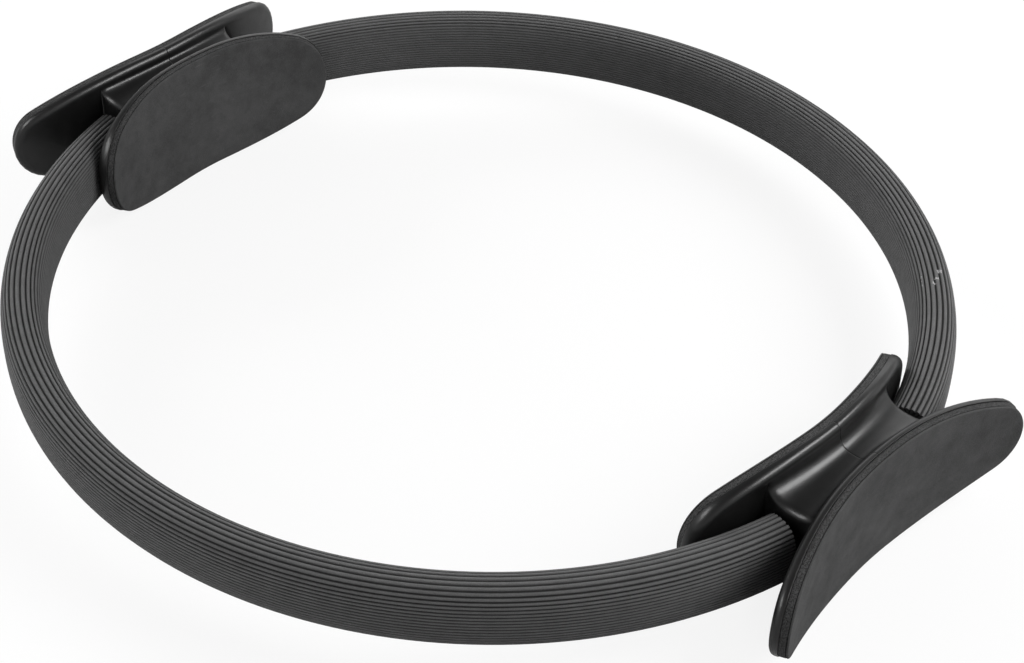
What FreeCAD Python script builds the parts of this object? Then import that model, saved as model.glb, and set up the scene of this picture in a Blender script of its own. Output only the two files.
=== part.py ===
"""A pilates ring: two sprung half hoops in foam sleeves, joined by two padded handles.

Millimetres. +Z is the hoop's axis. The handles stand on the X axis, the front one at +X.
The origin is the middle of the ring.
"""
import math
import os

import FreeCAD
import Part

# Half hoops: each follows an arc whose centre lies a little past the ring's middle
ARC_RADIUS = 180.0
ARC_OFFSET = 7.6

# Spring strips
STRIP_THICKNESS = 2.7
STRIP_WIDTH = 18.0
STRIP_END_SPACING = 8.0
STRIP_CLEARANCE = 0.1

# Foam sleeves: a flattened section of flat lands, a little shorter than the room between the handles
SLEEVE_WIDTH = 17.0
SLEEVE_HEIGHT = 26.0
SLEEVE_SQUARENESS = 2.75
SLEEVE_LANDS = 16
SLEEVE_CLEARANCE = 0.3
SLEEVE_PLAY = 2.0

# Handle moulding: an arched block between two flared flanges
BODY_LENGTH = 69.0
MOUTH_RIM = 2.0
CROWN_RISE = 3.5
WAIST_WALL = 1.0
SEAT_DEPTH = 4.0
FLANGE_THICKNESS = 3.3
ROOT_CHAMFER = 4.0
FLAT_LENGTH = 18.0
EDGE_TRIM = 0.05

# Inner flange: how far it reaches past the block, and how much narrower its round ends are
INNER_REACH = 24.9
INNER_OVERHANG = 12.6
INNER_TAPER = 5.6
INNER_FACE_RADIUS = 129.5

# Outer flange
OUTER_REACH = 35.6
OUTER_OVERHANG = 9.3
OUTER_TAPER = 8.3
OUTER_FACE_RADIUS = 181.5

# Foam pads and the double-sided tape that holds them
PAD_THICKNESS = 2.9
PAD_INSET = 0.3
TAPE_THICKNESS = 0.45
TAPE_INSET = 1.0
BOND_CLEARANCE = 0.1

# Screws through the strip ends, under the outer pad
SCREW_SIDES = 8
SCREW_DIAMETER = 4.0
SCREW_LENGTH = 12.0
SCREW_HEAD_DIAMETER = 8.0
SCREW_HEAD_HEIGHT = 2.2
SCREW_SPACING = 26.0
SCREW_CLEARANCE = 0.2
THREAD_CLEARANCE = 0.05
HEAD_DEPTH = 0.6

# Sizes that follow from those above
MOUTH_Y = BODY_LENGTH / 2
STRIP_END_Y = STRIP_END_SPACING / 2
BODY_HEIGHT = SLEEVE_HEIGHT + 2 * MOUTH_RIM
CROWN_Z = BODY_HEIGHT / 2 + CROWN_RISE
WAIST = SLEEVE_WIDTH + 2 * WAIST_WALL
CHANNEL = WAIST - 2 * FLANGE_THICKNESS

X_AXIS = FreeCAD.Vector(1, 0, 0)
Y_AXIS = FreeCAD.Vector(0, 1, 0)
Z_AXIS = FreeCAD.Vector(0, 0, 1)
ORIGIN = FreeCAD.Vector(0, 0, 0)
ARC_CENTRE = FreeCAD.Vector(0, -ARC_OFFSET, 0)


def arc_angle(y):
    """Angle, in degrees about the arc's centre, at which the left half hoop is at this y."""
    return math.degrees(math.asin((y + ARC_OFFSET) / ARC_RADIUS))


def arc_x(y):
    """Distance along X of the half hoop's middle line at this y."""
    return math.sqrt(ARC_RADIUS ** 2 - (y + ARC_OFFSET) ** 2)


# The handle is centred on the hoop's line a little inside its mouths
HANDLE_X = arc_x(MOUTH_Y - SEAT_DEPTH)
INNER_FACE_X = HANDLE_X - WAIST / 2
OUTER_FACE_X = HANDLE_X + WAIST / 2
SCREW_Y = SCREW_SPACING / 2
SCREW_SEAT_X = OUTER_FACE_X - HEAD_DEPTH - SCREW_HEAD_HEIGHT


def on_hoop(section, y):
    """Place a section, drawn in the XZ plane about the origin, square across the left half hoop."""
    face = section.copy()
    face.translate(ARC_CENTRE + X_AXIS * ARC_RADIUS)
    face.rotate(ARC_CENTRE, Z_AXIS, arc_angle(y))
    return face


def along_hoop(section, first_y, last_angle):
    """Sweep a section along the left half hoop from this y, at the front handle, to an angle."""
    return on_hoop(section, first_y).revolve(ARC_CENTRE, Z_AXIS, last_angle - arc_angle(first_y))


def half_hoop(section, front_y, rear_y):
    """A section swept from the front handle to the rear one, with its ends at these distances along Y."""
    return along_hoop(section, front_y, 180.0 - arc_angle(rear_y))


def turned(shape):
    """The same piece on the other side of the ring."""
    copy = shape.copy()
    copy.rotate(ORIGIN, Z_AXIS, 180.0)
    return copy


def rectangle(width, height):
    """Rectangular wire in the XZ plane."""
    corners = [(-1, -1), (1, -1), (1, 1), (-1, 1), (-1, -1)]
    return Part.makePolygon([FreeCAD.Vector(i * width / 2, 0, k * height / 2) for i, k in corners])


def strip_slot_wire():
    """Section of the slot that a spring strip lies in."""
    return rectangle(STRIP_THICKNESS + 2 * STRIP_CLEARANCE, STRIP_WIDTH + 2 * STRIP_CLEARANCE)


def superellipse_point(angle, half_width, half_height):
    """Point at this angle on a flattened, squarish oval in the XZ plane."""
    power = 2.0 / SLEEVE_SQUARENESS
    cosine = math.cos(angle)
    sine = math.sin(angle)
    x = half_width * math.copysign(abs(cosine) ** power, cosine)
    z = half_height * math.copysign(abs(sine) ** power, sine)
    return FreeCAD.Vector(x, 0, z)


def sleeve_wire():
    """Outline of the sleeve, whose lands reach the full width and height."""
    step = 2 * math.pi / SLEEVE_LANDS
    land = superellipse_point(step / 2, 1.0, 1.0).x
    half_width = SLEEVE_WIDTH / 2 / land
    half_height = SLEEVE_HEIGHT / 2 / land
    angles = [step * (i + 0.5) for i in range(SLEEVE_LANDS)]
    points = [superellipse_point(angle, half_width, half_height) for angle in angles]
    return Part.makePolygon(points + points[:1])


def faceted_rod(y, from_x, length, diameter):
    """Rod with flat sides along X, from this x towards the ring's middle."""
    step = 2 * math.pi / SCREW_SIDES
    radius = diameter / 2 / math.cos(step / 2)
    points = []
    for i in range(SCREW_SIDES + 1):
        angle = step * (i + 0.5)
        points.append(FreeCAD.Vector(from_x, y + radius * math.cos(angle), radius * math.sin(angle)))
    return Part.Face(Part.makePolygon(points)).extrude(X_AXIS * -length)


def screw(y):
    """Screw at this y, with its head outwards."""
    head = faceted_rod(y, SCREW_SEAT_X + SCREW_HEAD_HEIGHT, SCREW_HEAD_HEIGHT, SCREW_HEAD_DIAMETER)
    return head.fuse(faceted_rod(y, SCREW_SEAT_X, SCREW_LENGTH, SCREW_DIAMETER))


def screw_hole(y):
    """Stepped hole for one screw, open at the outer flange's hollow face."""
    head = faceted_rod(y, OUTER_FACE_X + FLANGE_THICKNESS, OUTER_FACE_X + FLANGE_THICKNESS - SCREW_SEAT_X,
                       SCREW_HEAD_DIAMETER + 2 * SCREW_CLEARANCE)
    thread = faceted_rod(y, SCREW_SEAT_X, SCREW_LENGTH + THREAD_CLEARANCE,
                         SCREW_DIAMETER + 2 * THREAD_CLEARANCE)
    return head.fuse(thread)


def strip():
    """Flat spring strip with a screw hole near each end."""
    blade = half_hoop(Part.Face(rectangle(STRIP_THICKNESS, STRIP_WIDTH)), STRIP_END_Y, STRIP_END_Y)
    hole = faceted_rod(SCREW_Y, SCREW_SEAT_X, SCREW_LENGTH, SCREW_DIAMETER + 2 * SCREW_CLEARANCE)
    return blade.cut(hole).cut(hole.mirror(ORIGIN, X_AXIS))


def sleeve():
    """Foam tube with a slot for the spring strip, slid along it towards the rear handle."""
    section = Part.makeFace([sleeve_wire(), strip_slot_wire()], "Part::FaceMakerBullseye")
    inner_radius = ARC_RADIUS - SLEEVE_WIDTH / 2
    rear_y = (MOUTH_Y + SLEEVE_CLEARANCE + ARC_OFFSET) * ARC_RADIUS / inner_radius - ARC_OFFSET
    return half_hoop(section, rear_y + SLEEVE_PLAY, rear_y)


def flange_outline(half_length, half_height, taper, grow):
    """Wire in the YZ plane about the X axis: straight long edges, long shoulder arcs and round ends."""
    half_flat = FLAT_LENGTH / 2
    end_radius = half_height - taper
    end_y = half_length - end_radius
    reach = end_y - half_flat
    shoulder = (reach ** 2 + half_height ** 2 - end_radius ** 2) / (2 * taper)
    shoulder_z = half_height - shoulder
    top = half_height + grow
    tangent = math.atan2(-shoulder_z, reach)
    middle = (math.pi / 2 + tangent) / 2

    def at(y, z):
        return FreeCAD.Vector(0, y, z)

    def on_shoulder(angle, i, k):
        radius = shoulder + grow
        return at(i * (half_flat + radius * math.cos(angle)), k * (shoulder_z + radius * math.sin(angle)))

    edges = []
    for i in (1, -1):
        start = at(i * half_flat, i * top)
        finish = at(i * half_flat, -i * top)
        upper = on_shoulder(tangent, i, i)
        lower = on_shoulder(tangent, i, -i)
        edges.append(Part.LineSegment(at(-i * half_flat, i * top), start))
        edges.append(Part.Arc(start, on_shoulder(middle, i, i), upper))
        edges.append(Part.Arc(upper, at(i * (half_length + grow), 0), lower))
        edges.append(Part.Arc(lower, on_shoulder(middle, i, -i), finish))
    return Part.Wire([edge.toShape() for edge in edges])


class Flange:
    """One flange of the handle and the layers on its hollow face.

    The hollow face is part of a cylinder about an upright axis. The outline lies on the plane through
    the tips of its pad, and the edge runs square to the hollow face all round.
    """

    def __init__(self, face_x, outward, face_radius, reach, overhang, taper):
        self.face_radius = face_radius
        self.tape_radius = face_radius - BOND_CLEARANCE - TAPE_THICKNESS
        self.pad_radius = self.tape_radius - BOND_CLEARANCE - PAD_THICKNESS
        self.face_x = face_x
        self.axis_x = face_x + outward * face_radius
        self.towards = -outward
        self.half_length = MOUTH_Y + reach
        self.half_height = BODY_HEIGHT / 2 + overhang
        self.taper = taper

    def cylinder(self, radius, height):
        """Cylinder about the flange's axis, with its seam on the far side from the flange."""
        solid = Part.makeCylinder(radius, height, FreeCAD.Vector(0, 0, -height / 2))
        if self.towards > 0:
            solid.rotate(ORIGIN, Z_AXIS, 180.0)
        solid.translate(X_AXIS * self.axis_x)
        return solid

    def wedge(self, grow):
        """Solid with the flange's outline that narrows towards the axis."""
        outline = flange_outline(self.half_length, self.half_height + EDGE_TRIM, self.taper, grow)
        tip_depth = math.sqrt(self.pad_radius ** 2 - (self.half_length + grow) ** 2)
        sections = []
        for depth in (tip_depth / 2, self.face_radius + tip_depth / 2):
            stretch = FreeCAD.Matrix()
            stretch.scale(1.0, depth / tip_depth, 1.0)
            wire = outline.transformGeometry(stretch)
            wire.translate(X_AXIS * (self.axis_x + self.towards * depth))
            sections.append(wire)
        return Part.makeLoft(sections, True, True)

    def between(self, solid, first_radius, last_radius, height):
        """The piece of a solid between two radii about the flange's axis."""
        outside = self.cylinder(last_radius, height)
        inside = self.cylinder(first_radius, height)
        return solid.common(outside).cut(inside).Solids[0]

    def layer(self, first_radius, last_radius, grow):
        """Plate with the flange's outline between two radii, trimmed flat along its long edges."""
        return self.between(self.wedge(grow), first_radius, last_radius, 2 * (self.half_height + grow))

    def plate(self):
        """The moulded flange, a little larger than its pad."""
        return self.layer(self.face_radius, self.face_radius + FLANGE_THICKNESS, PAD_INSET)

    def tape(self):
        """Oblong of tape on the hollow face, in front of the block."""
        half_length = MOUTH_Y - TAPE_INSET
        half_height = BODY_HEIGHT / 2 - TAPE_INSET
        corner = FreeCAD.Vector(self.face_x - WAIST, -half_length, -half_height)
        oblong = Part.makeBox(2 * WAIST, 2 * half_length, 2 * half_height, corner)
        return self.between(oblong, self.tape_radius, self.face_radius - BOND_CLEARANCE, 2 * BODY_HEIGHT)

    def pad(self):
        """Foam pad on the tape."""
        return self.layer(self.pad_radius, self.tape_radius - BOND_CLEARANCE, 0.0)

    def sag(self, y):
        """How far the hollow face has flared away from the block at this y."""
        return self.face_radius - math.sqrt(self.face_radius ** 2 - y ** 2)

    def is_root(self, edge):
        """Whether an edge is where the block's arched top or underside meets the back of the flange."""
        axis = FreeCAD.Vector(self.axis_x, 0, 0)
        back_radius = self.face_radius + FLANGE_THICKNESS
        points = edge.discretize(5)
        for point in points:
            radius = axis.distanceToPoint(FreeCAD.Vector(point.x, point.y, 0))
            on_back = abs(radius - back_radius) < BOND_CLEARANCE
            in_block = max(abs(point.z) - CROWN_Z, abs(point.y) - MOUTH_Y) < BOND_CLEARANCE
            if not (on_back and in_block):
                return False
        return abs(points[2].y) < MOUTH_Y / 2


INNER_FLANGE = Flange(INNER_FACE_X, -1, INNER_FACE_RADIUS, INNER_REACH, INNER_OVERHANG, INNER_TAPER)
OUTER_FLANGE = Flange(OUTER_FACE_X, 1, OUTER_FACE_RADIUS, OUTER_REACH, OUTER_OVERHANG, OUTER_TAPER)
FLANGES = (INNER_FLANGE, OUTER_FLANGE)


def body_block():
    """Block with an arched top and underside, from one flange's hollow face to the other's."""
    first_x = INNER_FACE_X - INNER_FLANGE.sag(MOUTH_Y)
    last_x = OUTER_FACE_X + OUTER_FLANGE.sag(MOUTH_Y)
    edges = []
    for i in (1, -1):
        start = FreeCAD.Vector(first_x, -i * MOUTH_Y, i * BODY_HEIGHT / 2)
        crown = FreeCAD.Vector(first_x, 0, i * CROWN_Z)
        finish = FreeCAD.Vector(first_x, i * MOUTH_Y, i * BODY_HEIGHT / 2)
        edges.append(Part.Arc(start, crown, finish).toShape())
        edges.append(Part.makeLine(finish, FreeCAD.Vector(first_x, i * MOUTH_Y, -i * BODY_HEIGHT / 2)))
    block = Part.Face(Part.Wire(edges)).extrude(X_AXIS * (last_x - first_x))
    for flange in FLANGES:
        block = block.cut(flange.cylinder(flange.face_radius, 2 * BODY_HEIGHT))
    return block


def strip_socket():
    """Curved slot for one strip's end, from its stop out through the mouth."""
    past_mouth = arc_angle(MOUTH_Y + SEAT_DEPTH)
    return along_hoop(Part.Face(strip_slot_wire()), STRIP_END_Y - STRIP_CLEARANCE, past_mouth)


def handle_body():
    """Spool-shaped moulding: an arched block with two strip slots between two flared flanges."""
    moulding = body_block().multiFuse([flange.plate() for flange in FLANGES]).removeSplitter()
    roots = [edge for edge in moulding.Edges if any(flange.is_root(edge) for flange in FLANGES)]
    moulding = moulding.makeChamfer(min(ROOT_CHAMFER, 0.45 * CHANNEL), roots)
    for hollow in (strip_socket(), screw_hole(SCREW_Y)):
        moulding = moulding.cut(hollow).cut(hollow.mirror(ORIGIN, Y_AXIS))
    return moulding


def build():
    """All pieces by name."""
    pieces = {}
    for name, shape in {"spring_strip": strip(), "sleeve": sleeve()}.items():
        pieces["left_" + name] = shape
        pieces["right_" + name] = turned(shape)
    handle = {"handle_body": handle_body(), "screws": Part.makeCompound([screw(SCREW_Y), screw(-SCREW_Y)])}
    for place, flange in (("inner", INNER_FLANGE), ("outer", OUTER_FLANGE)):
        handle[place + "_tape"] = flange.tape()
        handle[place + "_pad"] = flange.pad()
    for name, shape in handle.items():
        pieces["front_" + name] = shape
        pieces["rear_" + name] = turned(shape)
    return pieces


os.makedirs("parts", exist_ok=True)
for piece_name, piece in build().items():
    piece.exportStep(os.path.join("parts", piece_name + ".step"))
    print(piece_name, "valid" if piece.isValid() else "faulty", round(piece.Volume / 1000.0, 2), "cm3")
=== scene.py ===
# %% [markdown]
# # A pilates ring, dressed for the studio
# The ring is two springy strips in ribbed foam sleeves, joined by two moulded handles. Each handle
# has a soft pad inside and outside the ring. The CAD model is loaded first and stays as it is: it
# gives every size and place, and the pieces below are modelled over it, in metres, with +Z up and
# the front handle on the +X side.

# %% Load the frame and keep its box
import bpy
import bmesh
import math
from mathutils import Matrix, Vector


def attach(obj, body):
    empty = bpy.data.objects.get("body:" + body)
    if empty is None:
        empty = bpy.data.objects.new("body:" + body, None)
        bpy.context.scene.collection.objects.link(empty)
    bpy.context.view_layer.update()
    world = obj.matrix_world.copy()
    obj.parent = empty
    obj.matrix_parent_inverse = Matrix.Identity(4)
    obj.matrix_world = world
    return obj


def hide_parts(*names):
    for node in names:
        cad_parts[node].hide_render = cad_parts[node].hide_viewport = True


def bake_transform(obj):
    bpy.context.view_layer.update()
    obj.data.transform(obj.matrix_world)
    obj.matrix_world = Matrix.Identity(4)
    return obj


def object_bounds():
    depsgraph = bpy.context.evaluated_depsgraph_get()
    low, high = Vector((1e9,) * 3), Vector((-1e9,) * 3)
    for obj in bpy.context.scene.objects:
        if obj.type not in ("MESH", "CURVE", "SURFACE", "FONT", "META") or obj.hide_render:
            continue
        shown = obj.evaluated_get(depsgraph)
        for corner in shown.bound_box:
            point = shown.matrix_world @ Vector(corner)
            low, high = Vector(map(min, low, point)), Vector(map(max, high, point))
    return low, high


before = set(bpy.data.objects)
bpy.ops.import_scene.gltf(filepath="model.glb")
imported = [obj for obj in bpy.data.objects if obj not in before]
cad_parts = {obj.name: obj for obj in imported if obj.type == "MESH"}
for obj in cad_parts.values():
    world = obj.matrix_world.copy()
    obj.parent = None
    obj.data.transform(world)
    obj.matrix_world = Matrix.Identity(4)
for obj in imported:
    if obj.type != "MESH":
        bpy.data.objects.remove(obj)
cad_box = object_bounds()
print("CAD box", [[round(value, 4) for value in corner] for corner in cad_box])

# %% [markdown]
# ## Camera
# The photograph looks down on the ring from beyond the front handle. A camera could be nudged by
# eye until the picture agrees, but its place, aim and lens were worked out from the ring's own
# outline instead, so every piece lands where the photograph has it. The camera's three axes are
# written as the columns of its turning matrix.

# %% Camera at the photograph's angle
RIGHT = Vector((0.7365, 0.67631, 0.01342))
DOWN = Vector((0.44074, -0.46473, -0.76797))
FORWARD = Vector((-0.51315, 0.57152, -0.64035))
CAMERA_PLACE = (0.435898, -0.464899, 0.503663)
FOCAL_LENGTH = 73.08
SENSOR_WIDTH = 36.0
turn = Matrix((RIGHT, -DOWN, -FORWARD)).transposed().to_4x4()
lens_data = bpy.data.cameras.new("studio_camera")
lens_data.lens = FOCAL_LENGTH
lens_data.sensor_width = SENSOR_WIDTH
camera = bpy.data.objects.new("studio_camera", lens_data)
camera.matrix_world = Matrix.Translation(CAMERA_PLACE) @ turn
bpy.context.scene.collection.objects.link(camera)
bpy.context.scene.camera = camera
print("camera", [round(value, 3) for value in camera.location])

# %% [markdown]
# ## Modelling by cross-sections
# The handle and its pads are mouldings whose section changes all the way through. Box modelling
# with a subdivision surface would lose their crisp rims, so each one is drawn as a caster would
# loft it: a circle is added and its corners are set on the first cross-section, then its open edge
# is extruded again and again and set on the next section. Each corner keeps the number of its
# column and of its ring, so that rows can be picked out later for grooves and attributes.

# %% Loft helpers
MM = 0.001


def start_piece(name, section):
    """Add a circle as the first cross-section and set its corners in place."""
    bpy.ops.object.select_all(action="DESELECT")
    bpy.ops.mesh.primitive_circle_add(vertices=len(section), fill_type="NOTHING")
    piece = bpy.context.active_object
    piece.name = name
    piece.data.name = name
    piece.matrix_world = Matrix.Identity(4)
    bpy.ops.object.mode_set(mode="EDIT")
    mesh = bmesh.from_edit_mesh(piece.data)
    column = mesh.verts.layers.int.new("column")
    ring = mesh.verts.layers.int.new("ring")
    for number, corner in enumerate(mesh.verts):
        corner[column] = number
        corner[ring] = 0
        corner.co = Vector(section[number]) * MM
    bmesh.update_edit_mesh(piece.data)
    return piece


def draw_on(piece, section, number):
    """Extrude the open edge and set it on the next cross-section."""
    bpy.ops.mesh.extrude_region_move()
    mesh = bmesh.from_edit_mesh(piece.data)
    column = mesh.verts.layers.int["column"]
    ring = mesh.verts.layers.int["ring"]
    for corner in mesh.verts:
        if corner.select:
            corner[ring] = number
            corner.co = Vector(section[corner[column]]) * MM
    bmesh.update_edit_mesh(piece.data)


def pick_rings(piece, numbers):
    """Select the corners of some rings and nothing else."""
    mesh = bmesh.from_edit_mesh(piece.data)
    ring = mesh.verts.layers.int["ring"]
    for face in mesh.faces:
        face.select_set(False)
    for edge in mesh.edges:
        edge.select_set(False)
    for corner in mesh.verts:
        corner.select_set(corner[ring] in numbers)
    bmesh.update_edit_mesh(piece.data)


def loft(name, sections):
    """A closed piece through all cross-sections, drawn together to a point at both ends."""
    piece = start_piece(name, sections[0])
    for number, section in enumerate(sections[1:], 1):
        draw_on(piece, section, number)
    pick_rings(piece, (len(sections) - 1,))
    bpy.ops.mesh.merge(type="CENTER")
    pick_rings(piece, (0,))
    bpy.ops.mesh.merge(type="CENTER")
    bpy.ops.mesh.select_all(action="SELECT")
    bpy.ops.mesh.normals_make_consistent(inside=False)
    bpy.ops.object.mode_set(mode="OBJECT")
    return piece


def all_round(quarter):
    """Mirror the points of the +Y +Z quarter into the whole section."""
    def flip(points, y, z):
        return [(p[0], p[1] * y, p[2] * z) for p in points]
    below = flip(quarter[-2::-1], 1, -1)
    beyond = flip(quarter[1:], -1, -1)
    above = flip(quarter[-2:0:-1], -1, 1)
    return list(quarter) + below + beyond + above


print("loft helpers ready")

# %% [markdown]
# ## The flange outline
# Both flanges of a handle have a long shield outline: a short flat run, a big shoulder arc and a
# round end, all tangent. Seen from above each flange bends about an upright axis, the inner one
# round the user's side and the outer one round the other. A point of a flange is therefore given by
# its distance along the outline and its distance from that axis.

# %% Flange values and outline
HOOP_RADIUS = 180.0
HOOP_OFFSET = 7.6
MOUTH = 34.5
SEAT_DEPTH = 4.0
HALF_WAIST = 9.5
FLAT = 9.0
PAD_STACK = 3.55
PLATE = 3.3
LIP = 0.3
HALVINGS = 50
HANDLE_X = math.sqrt(HOOP_RADIUS ** 2 - (MOUTH - SEAT_DEPTH + HOOP_OFFSET) ** 2)
INNER = {"side": 1, "face": 129.5, "length": 59.4, "height": 27.6, "drop": 5.6, "swell": 1.5}
OUTER = {"side": -1, "face": 181.5, "length": 70.1, "height": 24.3, "drop": 8.3, "swell": 0.3}

for flange in (INNER, OUTER):
    flange["axis"] = HANDLE_X - flange["side"] * (HALF_WAIST + flange["face"])
    flange["end"] = flange["height"] - flange["drop"]
    flange["end_y"] = flange["length"] - flange["end"]
    reach = flange["end_y"] - FLAT
    squares = reach ** 2 + flange["height"] ** 2 - flange["end"] ** 2
    flange["shoulder"] = squares / (2 * flange["drop"])
    flange["tangent"] = math.atan2(flange["shoulder"] - flange["height"], reach)
    flange["runs"] = (FLAT,
                      flange["shoulder"] * (math.pi / 2 - flange["tangent"]),
                      flange["end"] * flange["tangent"])
    pad_face = flange["face"] - PAD_STACK
    flange["depth"] = math.sqrt(pad_face ** 2 - flange["length"] ** 2)


def edge_point(flange, along, grow):
    """A point of the outline's quarter, moved outwards by grow: (y, z) on the plane of the tips."""
    flat, bend, end = flange["runs"]
    if along <= flat:
        return along, flange["height"] + grow
    if along <= flat + bend:
        angle = math.pi / 2 - (along - flat) / flange["shoulder"]
        radius = flange["shoulder"] + grow
        low = flange["height"] - flange["shoulder"]
        return FLAT + radius * math.cos(angle), low + radius * math.sin(angle)
    angle = max(flange["tangent"] - (along - flat - bend) / flange["end"], 0.0)
    radius = flange["end"] + grow
    return flange["end_y"] + radius * math.cos(angle), radius * math.sin(angle)


def on_flange(flange, radius, y, z):
    """Carry a point of the outline plane along its ray to a given distance from the bend's axis."""
    angle = math.atan2(y, flange["depth"])
    return flange["axis"] + flange["side"] * radius * math.cos(angle), radius * math.sin(angle), z


def along_for(flange, radius, y):
    """How far along the outline the point lies that comes to a given y at a given radius."""
    goal = flange["depth"] * math.tan(math.asin(y / radius))
    low, high = 0.0, sum(flange["runs"])
    for _ in range(HALVINGS):
        middle = (low + high) / 2
        if edge_point(flange, middle, 0.0)[0] < goal:
            low = middle
        else:
            high = middle
    return low


print("outline shoulders", round(INNER["shoulder"], 1), round(OUTER["shoulder"], 1))

# %% [markdown]
# ## Handle moulding
# The handle is one injection moulding in black ABS: two curved flanges joined by a saddle that
# arches between the two mouths where the sleeves end. A Boolean of plates and a block would leave
# sharp corners, and a bevel fails where the fillets run out over the rounded rims. So the skin is
# lofted from the inner flange's hollow, over its rim, down through the fillet, across the saddle
# and up over the outer flange. Columns crowd together at the mouth, for the rounding of its edge,
# and at the middle, for the mould's parting line, and fan out a little towards the rims.

# %% Columns of the moulding
MOUTH_ROUND = (3.0, 2.3)
FAN_OUT = 0.06
END_COLUMNS = 14
COLUMN_Y = [0.0, 0.2, 0.5, 2.0, 4.0, 6.5, 9.0, 11.5, 14.0, 16.5, 19.0, 21.5, 24.0, 26.5,
            28.6, 30.0, 30.9]
for turn_by in range(0, 91, 10):
    COLUMN_Y.append(MOUTH - MOUTH_ROUND[0] * (1 - math.sin(math.radians(turn_by))))
inner_along = []
outer_along = []
for y in COLUMN_Y:
    fanned = y * (1 + FAN_OUT * y / MOUTH)
    inner_along.append(along_for(INNER, INNER["face"] + PLATE, fanned))
    outer_along.append(along_for(OUTER, OUTER["face"] + PLATE, fanned))
for marks, flange in ((inner_along, INNER), (outer_along, OUTER)):
    corner = marks[-1]
    tip = sum(flange["runs"])
    for step in range(1, END_COLUMNS + 1):
        marks.append(corner + (tip - corner) * step / END_COLUMNS)
print("columns in a quarter", len(inner_along))

# %% Sections over a flange's rim
FACE_ROUND = 0.15
RIM_FLAT = 0.9
BACK_ROUND = 3.2
TIP_Y = 62.0
HOLLOW_SHARES = (0.1, 0.45, 0.8, 1.0)


def plate_at(flange, y):
    """The plate's thickness at y: it grows a little towards the tips."""
    return PLATE + flange["swell"] * min(abs(y) / TIP_Y, 1.0) ** 2


def rim_section(flange, marks, grow, from_face, share=0.0):
    """A section along the outline, at a depth behind the face or a share of the way back."""
    points = []
    for along in marks:
        y, z = edge_point(flange, along, grow)
        back_y = (flange["face"] + PLATE) * math.sin(math.atan2(y, flange["depth"]))
        depth = from_face + share * (plate_at(flange, back_y) - from_face)
        points.append(on_flange(flange, flange["face"] + depth, y, z))
    return all_round(points)


def hollow_section(flange, marks, share):
    """A section inside the hollow, a smaller copy of the outline."""
    points = []
    for along in marks:
        y, z = edge_point(flange, along, LIP - FACE_ROUND)
        points.append(on_flange(flange, flange["face"], y * share, z * share))
    return all_round(points)


def flange_sections(flange, marks):
    """From the middle of the hollow out over the rim to the flange's back."""
    sections = [hollow_section(flange, marks, share) for share in HOLLOW_SHARES]
    for turn_by in (30, 60, 90):
        a = math.radians(turn_by)
        grow = LIP - FACE_ROUND * (1 - math.sin(a))
        sections.append(rim_section(flange, marks, grow, FACE_ROUND * (1 - math.cos(a))))
    sections.append(rim_section(flange, marks, LIP, (FACE_ROUND + RIM_FLAT) / 2))
    for turn_by in range(0, 91, 9):
        a = math.radians(turn_by)
        grow = LIP - BACK_ROUND * (1 - math.cos(a))
        sections.append(rim_section(flange, marks, grow, RIM_FLAT, math.sin(a)))
    return sections


inner_sections = flange_sections(INNER, inner_along)
outer_sections = flange_sections(OUTER, outer_along)
print("rim sections", len(inner_sections), len(outer_sections))

# %% Sections down the fillets
FILLET_STEPS = 10
CROWN_Z, CROWN_DROP = 18.5, 2.8
CORNER_FILLET, CORNER_FADE = 2.0, 1.6
CORNER_ONSET, CORNER_TURN = 0.2, 30
IN_WIDTH, IN_RISE = (5.9, 9.5), (5.7, 6.7)
OUT_WIDTH, OUT_RISE = (4.6, 8.0), (2.6, 4.1)


def swell(pair, y):
    """A fillet's size at y: it grows from the middle of the saddle to the mouth."""
    return pair[0] + (pair[1] - pair[0]) * (y / MOUTH) ** 2


def back_x(flange, y):
    """Where a flange's back stands at y."""
    radius = flange["face"] + plate_at(flange, y)
    return flange["axis"] + flange["side"] * math.sqrt(radius ** 2 - y ** 2)


def fillet_section(flange, width, rise, turn_by):
    """One section down a fillet; turn_by is 0 at the flange's back and 90 at the saddle's floor."""
    a = math.radians(turn_by)
    points = []
    for y in COLUMN_Y:
        floor = CROWN_Z - CROWN_DROP * (y / MOUTH) ** 2
        past = max(y - MOUTH + MOUTH_ROUND[0], 0.0) / MOUTH_ROUND[0]
        lift = -MOUTH_ROUND[1] * (1 - math.sqrt(1 - past ** 2)) * math.sin(a)
        x = swell(width, y) * (1 - math.cos(a)) + lift * math.cos(a)
        z = floor + swell(rise, y) * (1 - math.sin(a)) + lift * math.sin(a)
        points.append((back_x(flange, y) + flange["side"] * x, y, z))
    edge = points[-1]
    for step in range(1, END_COLUMNS + 1):
        share = step / END_COLUMNS
        onset = min(share / CORNER_ONSET, 1.0)
        bulge = CORNER_FILLET * onset * max(1 - turn_by / CORNER_TURN, 0.0) ** CORNER_FADE
        y = MOUTH + bulge
        x = edge[0] + back_x(flange, y) - back_x(flange, MOUTH)
        points.append((x, y, edge[2] * (1 - share)))
    return points


turns = [90 * step / FILLET_STEPS for step in range(FILLET_STEPS + 1)]
inner_fillet = [fillet_section(INNER, IN_WIDTH, IN_RISE, turn_by) for turn_by in turns]
outer_fillet = [fillet_section(OUTER, OUT_WIDTH, OUT_RISE, turn_by) for turn_by in turns]
print("fillet sections", len(inner_fillet) + len(outer_fillet))

# %% Sections across the backs and the saddle's floor
BACK_STEPS = 5


def between(first, last, count):
    """Sections spread evenly between two others."""
    rows = []
    for step in range(1, count + 1):
        share = step / (count + 1)
        rows.append([tuple(a + (b - a) * share for a, b in zip(p, q)) for p, q in zip(first, last)])
    return rows


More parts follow.
